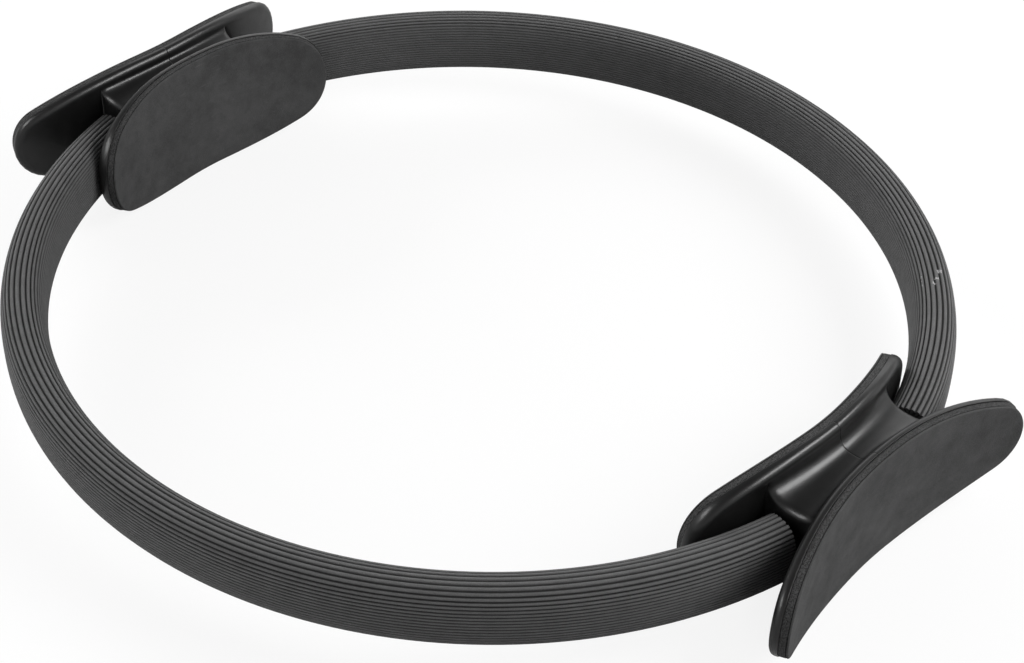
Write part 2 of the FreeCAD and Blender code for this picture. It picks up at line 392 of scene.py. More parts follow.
def back_sections(flange, rim, root, count):
    """Sections over a flange's back, from its rim to the top of the fillet, kept on the bend."""
    rows = []
    for row in between(rim, root, count):
        rows.append([(back_x(flange, p[1]), p[1], p[2]) for p in row])
    return rows


inner_root = all_round(inner_fillet[0])
outer_root = all_round(outer_fillet[0])
sections = list(inner_sections)
sections += back_sections(INNER, inner_sections[-1], inner_root, BACK_STEPS)
sections += [all_round(points) for points in inner_fillet]
sections += between(all_round(inner_fillet[-1]), all_round(outer_fillet[-1]), 1)
sections += [all_round(points) for points in reversed(outer_fillet)]
sections += list(reversed(back_sections(OUTER, outer_sections[-1], outer_root, BACK_STEPS)))
sections += list(reversed(outer_sections))
print("sections in all", len(sections), "of", len(sections[0]), "corners")

# %% Loft the moulding and press in its parting line
PARTING_DEPTH = 0.16
PARTING_FROM_Z = 15.0
ON_LINE = 0.01
MOULDING_SMOOTH = math.radians(50)
front_moulding = loft("front_handle_moulding", sections)
bpy.ops.object.mode_set(mode="EDIT")
bpy.ops.mesh.select_all(action="DESELECT")
mesh = bmesh.from_edit_mesh(front_moulding.data)
line = [corner for corner in mesh.verts
        if abs(corner.co.y) < ON_LINE * MM and abs(corner.co.z) > PARTING_FROM_Z * MM]
for corner in line:
    corner.select_set(True)
bmesh.update_edit_mesh(front_moulding.data)
bpy.ops.transform.shrink_fatten(value=-PARTING_DEPTH * MM)
bpy.ops.object.mode_set(mode="OBJECT")
bpy.ops.object.shade_smooth_by_angle(angle=MOULDING_SMOOTH)
print("moulding faces", len(front_moulding.data.polygons), "parting line corners", len(line))

# %% [markdown]
# ## Foam pads
# Each flange carries a pad of closed-cell foam, die cut from sheet and stuck into the hollow. It is
# thin and flat on its back, so a cloth simulation would have nothing to fold: the pad is lofted,
# with the softened edge that the cutting die leaves, the fine groove of the skin layer just below
# its face, and a lip at the back that sinks round the edge of the tape. The cut edge and the skin
# line are marked in attributes, because the open cells of the edge look rougher than the face and
# the skin line's groove gets painted shade.

# %% Loft a pad
PAD_BACK, PAD_BACK_INSET, PAD_BACK_SHARES = 2.9, -0.9, (0.1, 0.4, 0.75)
PAD_RIM = ((-0.9, 2.9), (-0.86, 3.42), (-0.78, 3.46), (-0.1, 3.46))
PAD_EDGE = ((0.0, 3.36), (0.0, 2.6), (0.0, 1.9), (0.0, 1.4), (0.0, 1.1))
PAD_LINE = ((-0.04, 1.03), (-0.24, 0.95), (-0.24, 0.77), (-0.04, 0.69))
PAD_TURN = ((-0.02, 0.5), (-0.07, 0.3), (-0.17, 0.13), (-0.33, 0.03), (-0.55, 0.0))
PAD_FACE_INSET = -0.55
PAD_FACE_SHARES = (0.985, 0.95, 0.88, 0.78, 0.66, 0.52, 0.38, 0.24, 0.1, 0.02)
FLAT_STEPS, BEND_STEPS, END_STEPS = 3, 15, 16
FOAM_SMOOTH = math.radians(60)


def pad_marks(flange):
    """Distances along the outline's quarter, closer where it turns faster."""
    flat, bend, end = flange["runs"]
    marks = [flat * step / FLAT_STEPS for step in range(FLAT_STEPS)]
    marks += [flat + bend * step / BEND_STEPS for step in range(BEND_STEPS)]
    marks += [flat + bend + end * step / END_STEPS for step in range(END_STEPS + 1)]
    return marks


def make_pad(name, flange):
    """A thin foam pad bent to its flange."""
    marks = pad_marks(flange)
    face = flange["face"] - PAD_STACK

    def layer(share, depth, grow):
        points = []
        for along in marks:
            y, z = edge_point(flange, along, grow)
            points.append(on_flange(flange, face + depth, y * share, z * share))
        return all_round(points)

    rows = [layer(share, PAD_BACK, PAD_BACK_INSET) for share in PAD_BACK_SHARES]
    rows += [layer(1.0, depth, grow) for grow, depth in PAD_RIM + PAD_EDGE + PAD_LINE + PAD_TURN]
    rows += [layer(share, 0.0, PAD_FACE_INSET) for share in PAD_FACE_SHARES]
    pad = loft(name, rows)
    first_edge = len(PAD_BACK_SHARES) + len(PAD_RIM)
    first_line = first_edge + len(PAD_EDGE)
    first_turn = first_line + len(PAD_LINE)
    rings = [value.value for value in pad.data.attributes["ring"].data]
    spans = (("cut_edge", first_edge - 1, first_turn),
             ("skin_line", first_line + 1, first_line + 3))
    for label, low, high in spans:
        mark = pad.data.attributes.new(label, "FLOAT", "POINT")
        for number, ring in enumerate(rings):
            mark.data[number].value = 1.0 if low <= ring < high else 0.0
    bpy.ops.object.shade_smooth_by_angle(angle=FOAM_SMOOTH)
    return pad


front_inner_foam = make_pad("front_inner_foam", INNER)
front_outer_foam = make_pad("front_outer_foam", OUTER)
print("pad faces", len(front_inner_foam.data.polygons), len(front_outer_foam.data.polygons))

# %% [markdown]
# ## Foam sleeves
# The sleeves are extruded foam tubes with flat-topped ribs running lengthwise, finer and shallower
# on the side that faces the middle of the ring. A ribbed bump map would leave the outline smooth,
# so the ribs are modelled: a rounded-box section with a groove at every pitch, bridged to the slot
# that holds the strip, and spun round the centre of its half of the ring. Each sleeve is spun as
# two halves that meet at its middle, since the ring bends there when the handles are squeezed.

# %% Sleeve section
ARC_CENTRE = Vector((0.0, -HOOP_OFFSET, 0.0))
HALF_WIDTH, HALF_HEIGHT, SQUARENESS = 8.5, 13.0, 2.75
GROOVE = 0.6
RIB_SHAPE = ((0.0, 1.0), (0.09, 0.97), (0.17, 0.55), (0.23, 0.16), (0.33, 0.0), (0.5, -0.08),
             (0.67, 0.0), (0.77, 0.16), (0.83, 0.55), (0.91, 0.97))
SIDE_PITCH, TOP_GAIN = 1.4, 0.8
INWARD_LOSS, INWARD_LIMIT = 1.2, 0.6
INNER_LOSS, INNER_FROM = 0.2, 0.85
WALK_STEPS = 6000


def rounded_box(angle):
    """A point and outward normal of the plain section; angle 180 faces the ring's middle."""
    c, s = math.cos(angle), math.sin(angle)
    power = 2.0 / SQUARENESS
    x = HALF_WIDTH * math.copysign(abs(c) ** power, c)
    z = HALF_HEIGHT * math.copysign(abs(s) ** power, s)
    nx = math.copysign(abs(x / HALF_WIDTH) ** (SQUARENESS - 1), c) / HALF_WIDTH
    nz = math.copysign(abs(z / HALF_HEIGHT) ** (SQUARENESS - 1), s) / HALF_HEIGHT
    size = math.hypot(nx, nz)
    return x, z, nx / size, nz / size


def pitch_at(nx, nz):
    """The ribs' pitch where the section faces (nx, nz): wide on top, fine on the inner side."""
    gain = TOP_GAIN - INWARD_LOSS * min(max(-nx, 0.0), INWARD_LIMIT)
    return SIDE_PITCH + gain * nz ** 2 - (INNER_LOSS if nx < -INNER_FROM else 0.0)


def walk_section():
    """Points along half the section, from the inner side over the top, with the ribs passed."""
    passed = 0.0
    walk = []
    last = None
    for step in range(WALK_STEPS + 1):
        angle = math.pi - math.pi * step / WALK_STEPS
        x, z, nx, nz = rounded_box(angle)
        if last is not None:
            passed += math.hypot(x - last[0], z - last[1]) / pitch_at(nx, nz)
        last = (x, z)
        walk.append((passed, x, z, nx, nz))
    return walk


INWARD_FROM, INWARD_SPAN = 0.5, 0.45
# on the side that faces the ring's middle the grooves are shallower and paler and the whole tone
# darker
INWARD_SHALLOWER, INWARD_PALER, INWARD_DARKENING = 0.6, 0.5, 0.36


def ribbed_half():
    """The upper half as (x, z, darkness): painted shade in the grooves, a darker inner side."""
    walk = walk_section()
    ribs = round(walk[-1][0])
    scale = ribs / walk[-1][0]
    points = []
    place = 0
    for rib in range(ribs):
        for share, cut in RIB_SHAPE:
            goal = (rib + share) / scale
            while place < len(walk) - 1 and walk[place][0] < goal:
                place += 1
            _, x, z, nx, nz = walk[place]
            inward = min(max((-nx - INWARD_FROM) / INWARD_SPAN, 0.0), 1.0)
            deep = GROOVE * cut * (1 - INWARD_SHALLOWER * inward)
            # painted shade in the grooves, weaker where the inner ribs are shallow; the inner side
            # also gets a darker tone
            dark = max(cut, 0.0) * (1 - INWARD_PALER * inward)
            inward_tone = INWARD_DARKENING * inward
            points.append((x - nx * deep, z - nz * deep, inward_tone + (1 - inward_tone) * dark))
    _, x, z, nx, nz = walk[-1]
    points.append((x - nx * GROOVE, z - nz * GROOVE, 1.0))
    return points, ribs


upper, rib_count = ribbed_half()
sleeve_section = upper + [(x, -z, cut) for x, z, cut in upper[-2:0:-1]]
print("ribs round the sleeve", 2 * rib_count, "corners", len(sleeve_section))

# %% Spin a sleeve's half
SLOT = ((1.45, 9.1), (1.45, 4.5), (1.45, 0.0), (1.45, -4.5), (1.45, -9.1), (0.0, -9.1),
        (-1.45, -9.1), (-1.45, -4.5), (-1.45, 0.0), (-1.45, 4.5), (-1.45, 9.1), (0.0, 9.1))
HALF_STEPS = 48


def on_arc(x, z, angle):
    """A point of a hoop's section at an angle about the arc's centre."""
    out = HOOP_RADIUS + x
    return (ARC_CENTRE + Vector((out * math.cos(angle), out * math.sin(angle), z))) * MM


def add_loop(piece, section, angle):
    """Add a closed loop of corners at one end of the spin; a third value is its share of painted
    shade.
    """
    bpy.ops.mesh.select_all(action="DESELECT")
    bpy.ops.mesh.primitive_circle_add(vertices=len(section), fill_type="NOTHING")
    mesh = bmesh.from_edit_mesh(piece.data)
    painted_shade_and_tone = mesh.verts.layers.float.get("painted_shade_and_tone") or mesh.verts.layers.float.new("painted_shade_and_tone")
    fresh = [corner for corner in mesh.verts if corner.select]
    for corner, place in zip(fresh, section):
        corner.co = on_arc(place[0], place[1], angle)
        corner[painted_shade_and_tone] = place[2] if len(place) > 2 else 0.0
    bmesh.update_edit_mesh(piece.data)


def new_piece(name):
    """An empty mesh object at the origin, opened for modelling."""
    bpy.ops.object.select_all(action="DESELECT")
    piece = bpy.data.objects.new(name, bpy.data.meshes.new(name))
    bpy.context.scene.collection.objects.link(piece)
    bpy.context.view_layer.objects.active = piece
    piece.select_set(True)
    bpy.ops.object.mode_set(mode="EDIT")
    return piece


def spin_half(name, loops, first, smooth):
    """Spin the loops' face round the arc, from an angle to its middle, and close the shell."""
    piece = new_piece(name)
    for section in loops:
        add_loop(piece, section, first)
    bpy.ops.mesh.select_all(action="SELECT")
    if len(loops) == 2:
        bpy.ops.mesh.bridge_edge_loops()
    else:
        bpy.ops.mesh.edge_face_add()
    bpy.ops.mesh.select_all(action="SELECT")
    bpy.ops.mesh.spin(steps=HALF_STEPS, angle=first - math.pi / 2,
                      center=ARC_CENTRE * MM, axis=(0, 0, 1))
    bpy.ops.mesh.select_all(action="SELECT")
    bpy.ops.mesh.normals_make_consistent(inside=False)
    bpy.ops.object.mode_set(mode="OBJECT")
    bpy.ops.object.shade_smooth_by_angle(angle=smooth)
    return piece


def angle_at(y):
    """Angle about the arc's centre where its middle line stands at y."""
    return math.asin((y - ARC_CENTRE.y) / HOOP_RADIUS)


SLEEVE_GAP = 0.3
SLEEVE_PLAY = 1.5
inner_edge = HOOP_RADIUS - HALF_WIDTH
SLEEVE_REAR_Y = (MOUTH + SLEEVE_GAP + HOOP_OFFSET) * HOOP_RADIUS / inner_edge - HOOP_OFFSET
SLEEVE_FRONT_Y = SLEEVE_REAR_Y + SLEEVE_PLAY
loops = (sleeve_section, SLOT)
front_angle, rear_angle = angle_at(SLEEVE_FRONT_Y), math.pi - angle_at(SLEEVE_REAR_Y)
left_front_sleeve = spin_half("left_front_sleeve", loops, front_angle, FOAM_SMOOTH)
left_rear_sleeve = spin_half("left_rear_sleeve", loops, rear_angle, FOAM_SMOOTH)
for sleeve in (left_front_sleeve, left_rear_sleeve):
    nearest = min(corner.co.y for corner in sleeve.data.vertices)
    print(sleeve.name, len(sleeve.data.polygons), "faces, y from", round(nearest, 4))

# %% [markdown]
# ## Painted shade beside the handles
# Beside the handles the sleeve's sides are nearly black, in shadow between the flanges that is
# deeper than the lamps here leave it, so that shade is painted into the foam. A second material
# would show a seam, so the sides' painted shade is raised in the attribute that already holds the
# grooves' painted shade, and it fades out along the sleeve.

# %% Paint shade on the sides beside the handles
SIDE_SHADE_REACH = 30.0
SIDE_SHADE_SHARE = 0.85
SIDE_FROM, SIDE_SPAN = 0.7, 0.25


def paint_side_shade(sleeve, end_y):
    """Paint shade on a sleeve's two sides, darker towards its end at end_y."""
    count = 0
    for corner, mark in zip(sleeve.data.vertices, sleeve.data.attributes["painted_shade_and_tone"].data):
        place = corner.co / MM - ARC_CENTRE
        aside = abs(math.hypot(place.x, place.y) - HOOP_RADIUS) / HALF_WIDTH
        side = min(max((aside - SIDE_FROM) / SIDE_SPAN, 0.0), 1.0)
        near = min(max(1 - (corner.co.y / MM - end_y) / SIDE_SHADE_REACH, 0.0), 1.0)
        # painted shade: the sides grow darker towards the handle
        mark.value += (1 - mark.value) * SIDE_SHADE_SHARE * side * near
        count += side * near > 0
    return count


for sleeve, end_y in ((left_front_sleeve, SLEEVE_FRONT_Y), (left_rear_sleeve, SLEEVE_REAR_Y)):
    print(sleeve.name, "sheltered corners", paint_side_shade(sleeve, end_y))

# %% [markdown]
# ## Spring strips
# Inside each sleeve runs a flat strip of glass-fibre laminate, whose ends go into the handles. It
# shows only in the narrow gaps at the mouths. An eight-sided section, a flat bar with its edges
# taken off, is spun round the same centre.

# %% Spin the strips
STRIP = ((1.35, 8.6), (1.35, -8.6), (0.95, -9.0), (-0.95, -9.0),
         (-1.35, -8.6), (-1.35, 8.6), (-0.95, 9.0), (0.95, 9.0))
STRIP_END_Y = 4.0
STRIP_SMOOTH = math.radians(30)
front_angle, rear_angle = angle_at(STRIP_END_Y), math.pi - angle_at(STRIP_END_Y)
left_front_strip = spin_half("left_front_strip", (STRIP,), front_angle, STRIP_SMOOTH)
left_rear_strip = spin_half("left_rear_strip", (STRIP,), rear_angle, STRIP_SMOOTH)
for strip in (left_front_strip, left_rear_strip):
    print(strip.name, len(strip.data.polygons), "faces")

# %% [markdown]
# ## The other half of the ring
# The ring is the same after half a turn about its upright axis. So the rear handle, its pads and
# the right-hand sleeve and strip are copies, each with a mesh of its own that is turned in place.

# %% Turn copies half round
HALF_TURN = Matrix.Rotation(math.pi, 4, "Z")


def turned_copy(piece, name):
    """Copy a piece with its own mesh and turn the mesh half round the ring's axis."""
    copy = piece.copy()
    copy.data = piece.data.copy()
    copy.name = name
    copy.data.name = name
    copy.data.transform(HALF_TURN)
    bpy.context.scene.collection.objects.link(copy)
    return copy


TURNED = ((front_moulding, "rear_handle_moulding"),
          (front_inner_foam, "rear_inner_foam"),
          (front_outer_foam, "rear_outer_foam"),
          (left_front_sleeve, "right_rear_sleeve"),
          (left_rear_sleeve, "right_front_sleeve"),
          (left_front_strip, "right_rear_strip"),
          (left_rear_strip, "right_front_strip"))
print("copies", [turned_copy(piece, name).name for piece, name in TURNED])

# %% [markdown]
# ## Foam grain, shared by pads and sleeves
# Closed-cell foam shows tiny burst bubbles in its skin and a slow mottle in its tone. Two materials
# need this, so it is a node group: it takes the size of the cells and puts out a tone and a height.

# %% Node helpers and the foam grain group
FLOAT = "NodeSocketFloat"
NOISE_SPAN = (0.3, 0.7)


def node(tree, kind, **settings):
    """Add a node and set its own options."""
    made = tree.nodes.new(kind)
    for key, value in settings.items():
        setattr(made, key, value)
    return made


def noise(tree, place, scale, detail=2.0, rough=0.5):
    """A noise texture on some coordinates."""
    made = node(tree, "ShaderNodeTexNoise")
    made.inputs["Scale"].default_value = scale
    made.inputs["Detail"].default_value = detail
    made.inputs["Roughness"].default_value = rough
    tree.links.new(place, made.inputs["Vector"])
    return made.outputs["Fac"]


def spread(tree, value, low, high, to_low=0.0, to_high=1.0):
    """Map a value from one range to another and clamp it."""
    made = node(tree, "ShaderNodeMapRange")
    made.inputs["From Min"].default_value = low
    made.inputs["From Max"].default_value = high
    made.inputs["To Min"].default_value = to_low
    made.inputs["To Max"].default_value = to_high
    tree.links.new(value, made.inputs["Value"])
    return made.outputs["Result"]


def combine(tree, operation, first, second):
    """Join two values with a math node; each is a socket or a number."""
    made = node(tree, "ShaderNodeMath", operation=operation)
    for place, value in zip(made.inputs, (first, second)):
        if isinstance(value, (int, float)):
            place.default_value = value
        else:
            tree.links.new(value, place)
    return made.outputs["Value"]


def blend_colour(tree, share, first, second):
    """Mix two colours; each is a socket or a colour."""
    made = node(tree, "ShaderNodeMix", data_type="RGBA")
    tree.links.new(share, made.inputs["Factor"])
    for name, value in (("A", first), ("B", second)):
        place = [s for s in made.inputs if s.name == name and s.type == "RGBA"][0]
        if isinstance(value, tuple):
            place.default_value = (*value, 1.0)
        else:
            tree.links.new(value, place)
    return [s for s in made.outputs if s.type == "RGBA"][0]


def new_group(name, inputs, outputs):
    """A node group with float inputs and outputs."""
    group = bpy.data.node_groups.new(name, "ShaderNodeTree")
    for label, value in inputs:
        socket = group.interface.new_socket(name=label, in_out="INPUT", socket_type=FLOAT)
        socket.default_value = value
    for label in outputs:
        group.interface.new_socket(name=label, in_out="OUTPUT", socket_type=FLOAT)
    return group, node(group, "NodeGroupInput"), node(group, "NodeGroupOutput")


GRAIN_INPUTS = (("Cells per metre", 2500.0),)
grain_group, taken, given = new_group("foam_grain", GRAIN_INPUTS, ("Tone", "Height"))
place = node(grain_group, "ShaderNodeTexCoord").outputs["Object"]
cells = node(grain_group, "ShaderNodeTexVoronoi")
grain_group.links.new(place, cells.inputs["Vector"])
grain_group.links.new(taken.outputs["Cells per metre"], cells.inputs["Scale"])
bubbles = spread(grain_group, cells.outputs["Distance"], 0.15, 0.6)
fine = noise(grain_group, place, 3200.0, 3.0, 0.6)
mottle = noise(grain_group, place, 160.0, 4.0, 0.6)
height = combine(grain_group, "ADD", bubbles, fine)
slow = spread(grain_group, mottle, *NOISE_SPAN, -0.18, 0.18)
quick = spread(grain_group, fine, *NOISE_SPAN, 0.15, 0.85)
tone = combine(grain_group, "ADD", slow, quick)
grain_group.links.new(height, given.inputs["Height"])
grain_group.links.new(tone, given.inputs["Tone"])
print("group", grain_group.name, "nodes", len(grain_group.nodes))

# %% [markdown]
# ## Handling marks, shared by every surface that hands touch
# Use leaves faint rubbed patches and short hair scratches. A picture would not follow the surface
# from every side, so they are drawn from stretched noise, kept to a few patches by a slower noise.
# The group puts out one mask, and each material decides what a mark does to it.

# %% Handling marks group
marks_group, taken, given = new_group("handling_marks", (("Amount", 1.0),), ("Mask",))
place = node(marks_group, "ShaderNodeTexCoord").outputs["Object"]
stretch = node(marks_group, "ShaderNodeMapping")
stretch.inputs["Rotation"].default_value = (0.3, 0.5, 0.7)
stretch.inputs["Scale"].default_value = (1.0, 0.12, 1.0)
marks_group.links.new(place, stretch.inputs["Vector"])
hair_noise = noise(marks_group, stretch.outputs["Vector"], 1500.0, 2.0, 0.5)
hairs = spread(marks_group, hair_noise, 0.62, 0.72)
patches = spread(marks_group, noise(marks_group, place, 45.0, 3.0, 0.6), 0.52, 0.7)
rubbed = combine(marks_group, "MULTIPLY", hairs, patches)
mask = combine(marks_group, "MULTIPLY", rubbed, taken.outputs["Amount"])
marks_group.links.new(mask, given.inputs["Mask"])
print("group", marks_group.name, "nodes", len(marks_group.nodes))

# %% [markdown]
# ## Black ABS
# The moulding is black ABS, satin under a thin polished skin. It is so dark that what shows is the
# light on it: broad grey sheens from the studio and one streak along the saddle. A plain gloss
# would look like glass and a plain satin like rubber. So the body's roughness wanders a little, a
# light coat gives the polish, and a very fine bump stands for the mould's finish.

# %% Moulding material
ABS_DARK, ABS_LIGHT = (0.0035, 0.0035, 0.0035), (0.0068, 0.0068, 0.0068)
ABS_ROUGH = (0.34, 0.42)
ABS_BUMP = 0.00002


def new_material(name):
    """A material with its Principled shader, and its node tree."""
    material = bpy.data.materials.new(name)
    material.use_nodes = True
    tree = material.node_tree
    return material, tree, tree.nodes["Principled BSDF"]


def use_group(tree, group, **values):
    """Place a group in a material with its own values."""
    made = node(tree, "ShaderNodeGroup", node_tree=group)
    for key, value in values.items():
        made.inputs[key.replace("_", " ")].default_value = value
    return made


def add_bump(tree, shader, height, distance):
    """Feed a height to the shader's normal."""
    bump = node(tree, "ShaderNodeBump")
    bump.inputs["Distance"].default_value = distance
    bump.inputs["Strength"].default_value = 1.0
    tree.links.new(height, bump.inputs["Height"])
    tree.links.new(bump.outputs["Normal"], shader.inputs["Normal"])


black_abs, tree, shader = new_material("black_abs")
place = node(tree, "ShaderNodeTexCoord").outputs["Object"]
marks = use_group(tree, marks_group, Amount=0.3)
cloud = noise(tree, place, 60.0, 4.0, 0.6)
tint = blend_colour(tree, spread(tree, cloud, 0.35, 0.65), ABS_DARK, ABS_LIGHT)
tree.links.new(tint, shader.inputs["Base Color"])
gloss = spread(tree, noise(tree, place, 220.0, 3.0, 0.6), *NOISE_SPAN, *ABS_ROUGH)
gloss = combine(tree, "ADD", gloss, combine(tree, "MULTIPLY", marks.outputs["Mask"], 0.1))
tree.links.new(gloss, shader.inputs["Roughness"])
shader.inputs["IOR"].default_value = 1.5
shader.inputs["Coat Weight"].default_value = 0.3
shader.inputs["Coat Roughness"].default_value = 0.2
add_bump(tree, shader, noise(tree, place, 900.0, 2.0, 0.5), ABS_BUMP)
print(black_abs.name, "nodes", len(tree.nodes))

# %% [markdown]
# ## Pad foam and sleeve foam
# Both are charcoal closed-cell foam, dull and a little lighter than the moulding. The pads have a
# skin with fine grain, a cut edge of open cells and a skin line painted dark as shade. The sleeves
# are extruded; their grooves and their sides beside the handles carry painted shade, and the side
# that faces the ring's middle is darker. One flat grey would lose all this, so the tones follow the
# attributes that the modelling left on the corners. A few small pale nicks mark one sleeve where it
# was knocked.

# %% Pad foam
FOAM_SHINE = 0.2
FOAM_BUMP = 0.00005
MARK_SHARE = 0.3
SKIN_DARK, SKIN_LIGHT = (0.04, 0.04, 0.0402), (0.072, 0.072, 0.0723)
SKIN_MARK = (0.2, 0.2, 0.2)
CELL_DARK, CELL_LIGHT = (0.009, 0.009, 0.009), (0.063, 0.063, 0.0632)
SKIN_LINE_SHADE = (0.004, 0.004, 0.004)
CLOUD_SPAN, CLOUD_SHIFT = (0.34, 0.66), (-0.35, 0.35)
pad_foam, tree, shader = new_material("charcoal_pad_foam")
grain = use_group(tree, grain_group, Cells_per_metre=2600.0)
marks = use_group(tree, marks_group, Amount=0.6)
cut_edge = node(tree, "ShaderNodeAttribute", attribute_name="cut_edge").outputs["Fac"]
place = node(tree, "ShaderNodeTexCoord").outputs["Object"]
cloud = spread(tree, noise(tree, place, 38.0, 6.0, 0.68), *CLOUD_SPAN, *CLOUD_SHIFT)
shade = combine(tree, "ADD", grain.outputs["Tone"], cloud)
skin = blend_colour(tree, shade, SKIN_DARK, SKIN_LIGHT)
rubbed = combine(tree, "MULTIPLY", marks.outputs["Mask"], MARK_SHARE)
skin = blend_colour(tree, rubbed, skin, SKIN_MARK)
burst = node(tree, "ShaderNodeTexVoronoi")
burst.inputs["Scale"].default_value = 2000.0
tree.links.new(place, burst.inputs["Vector"])
open_cells = spread(tree, burst.outputs["Distance"], 0.1, 0.7)
edge = blend_colour(tree, open_cells, CELL_DARK, CELL_LIGHT)
# painted shade: the skin line's groove is painted nearly black
skin_line = node(tree, "ShaderNodeAttribute", attribute_name="skin_line").outputs["Fac"]
edge = blend_colour(tree, skin_line, edge, SKIN_LINE_SHADE)
tree.links.new(blend_colour(tree, cut_edge, skin, edge), shader.inputs["Base Color"])
dull = spread(tree, grain.outputs["Tone"], 0.0, 1.0, 0.9, 0.72)
tree.links.new(dull, shader.inputs["Roughness"])
shader.inputs["Specular IOR Level"].default_value = FOAM_SHINE
rough_edge = combine(tree, "MULTIPLY", combine(tree, "MULTIPLY", open_cells, cut_edge), 3.0)
add_bump(tree, shader, combine(tree, "ADD", grain.outputs["Height"], rough_edge), FOAM_BUMP)
print(pad_foam.name, "nodes", len(tree.nodes))

# %% Sleeve foam
RIB_DARK, RIB_LIGHT = (0.09, 0.09, 0.0904), (0.14, 0.14, 0.1405)
RIB_MARK = (0.3, 0.3, 0.3)
PAINTED_SHADE_TONE = (0.018, 0.018, 0.018)
NICK_TONE = (0.42, 0.42, 0.42)
NICK_CORE = 0.3
NICKS = (((137.0, 112.8, 12.6), 2.4), ((139.1, 108.1, 12.6), 2.0), ((139.6, 105.2, 12.6), 1.8),
         ((133.2, 105.3, 12.4), 1.9), ((134.8, 103.3, 12.4), 1.7), ((136.3, 101.3, 12.4), 1.9))
sleeve_foam, tree, shader = new_material("charcoal_sleeve_foam")
grain = use_group(tree, grain_group, Cells_per_metre=2100.0)
marks = use_group(tree, marks_group, Amount=1.0)
painted_shade_and_tone = node(tree, "ShaderNodeAttribute", attribute_name="painted_shade_and_tone").outputs["Fac"]
top = blend_colour(tree, grain.outputs["Tone"], RIB_DARK, RIB_LIGHT)
rubbed = combine(tree, "MULTIPLY", marks.outputs["Mask"], MARK_SHARE)
top = blend_colour(tree, rubbed, top, RIB_MARK)
# painted shade: the grooves and the sides beside the handles take this dark tone
tone = blend_colour(tree, painted_shade_and_tone, top, PAINTED_SHADE_TONE)
place = node(tree, "ShaderNodeTexCoord").outputs["Object"]
ragged = noise(tree, place, 1400.0, 2.0, 0.6)
for spot, size in NICKS:
    away = node(tree, "ShaderNodeVectorMath", operation="DISTANCE")
    tree.links.new(place, away.inputs[0])
    away.inputs[1].default_value = Vector(spot) * MM
    near = spread(tree, away.outputs["Value"], size * MM, NICK_CORE * size * MM)
    near = spread(tree, combine(tree, "MULTIPLY", near, ragged), 0.38, 0.5)
    tone = blend_colour(tree, near, tone, NICK_TONE)
tree.links.new(tone, shader.inputs["Base Color"])
dull = spread(tree, grain.outputs["Tone"], 0.0, 1.0, 0.88, 0.7)
tree.links.new(dull, shader.inputs["Roughness"])
shader.inputs["Specular IOR Level"].default_value = FOAM_SHINE
add_bump(tree, shader, grain.outputs["Height"], FOAM_BUMP)
print(sleeve_foam.name, "nodes", len(tree.nodes))

# %% [markdown]
# ## Strip, tape and screws
# These pieces are nearly hidden. The strip is dark glass-fibre laminate with fine fibres along it.
# The tape that holds the pads is a pale film, and the screws are zinc-plated steel. The tapes and
# screws keep their CAD shapes and only get their finish here.

# %% Hidden materials
LAMINATE_DARK, LAMINATE_LIGHT = (0.012, 0.0125, 0.012), (0.05, 0.051, 0.046)
FILM_DARK, FILM_LIGHT = (0.5, 0.49, 0.46), (0.66, 0.65, 0.62)
ZINC_DARK, ZINC_LIGHT = (0.48, 0.49, 0.5), (0.68, 0.69, 0.71)


def set_finish(tree, shader, tone, pattern, smooth, rough):
    """Feed a tone to the shader and let its roughness follow a pattern."""
    tree.links.new(tone, shader.inputs["Base Color"])
    tree.links.new(spread(tree, pattern, *NOISE_SPAN, smooth, rough), shader.inputs["Roughness"])


laminate, tree, shader = new_material("glass_fibre_laminate")
place = node(tree, "ShaderNodeTexCoord").outputs["Object"]
stretch = node(tree, "ShaderNodeMapping")
stretch.inputs["Scale"].default_value = (0.1, 0.1, 1.0)
tree.links.new(place, stretch.inputs["Vector"])
fibres = noise(tree, stretch.outputs["Vector"], 1800.0, 3.0, 0.6)
tone = blend_colour(tree, spread(tree, fibres, 0.35, 0.65), LAMINATE_DARK, LAMINATE_LIGHT)
set_finish(tree, shader, tone, fibres, 0.3, 0.5)
add_bump(tree, shader, fibres, 0.00002)

film, tree, shader = new_material("pale_tape_film")
place = node(tree, "ShaderNodeTexCoord").outputs["Object"]
wrinkle = noise(tree, place, 300.0, 4.0, 0.6)
tone = blend_colour(tree, wrinkle, FILM_DARK, FILM_LIGHT)
set_finish(tree, shader, tone, wrinkle, 0.35, 0.6)
add_bump(tree, shader, wrinkle, 0.00003)

zinc, tree, shader = new_material("zinc_plated_steel")
place = node(tree, "ShaderNodeTexCoord").outputs["Object"]
spangle = noise(tree, place, 900.0, 3.0, 0.6)
tone = blend_colour(tree, spangle, ZINC_DARK, ZINC_LIGHT)
set_finish(tree, shader, tone, spangle, 0.25, 0.42)
shader.inputs["Metallic"].default_value = 1.0
print("hidden finishes", laminate.name, film.name, zinc.name)

# %% [markdown]
# ## Put the pieces to work
# Each new piece takes its material and stands for its CAD nodes, and the handles and pads ride on
# their handle.

# %% Materials, places and bodies


def finish_with(piece, material):
    """Give a piece one material."""
    piece.data.materials.clear()
    piece.data.materials.append(material)


for end in ("front", "rear"):
    body = end + "_handle"
    moulding = bpy.data.objects[end + "_handle_moulding"]
    finish_with(moulding, black_abs)
    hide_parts(end + "_handle_body")
    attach(moulding, body)
    for side in ("inner", "outer"):
        foam = bpy.data.objects[end + "_" + side + "_foam"]
        finish_with(foam, pad_foam)
        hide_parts(end + "_" + side + "_pad")
        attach(foam, body)
        finish_with(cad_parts[end + "_" + side + "_tape"], film)
    finish_with(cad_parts[end + "_screws"], zinc)
print("handles dressed")

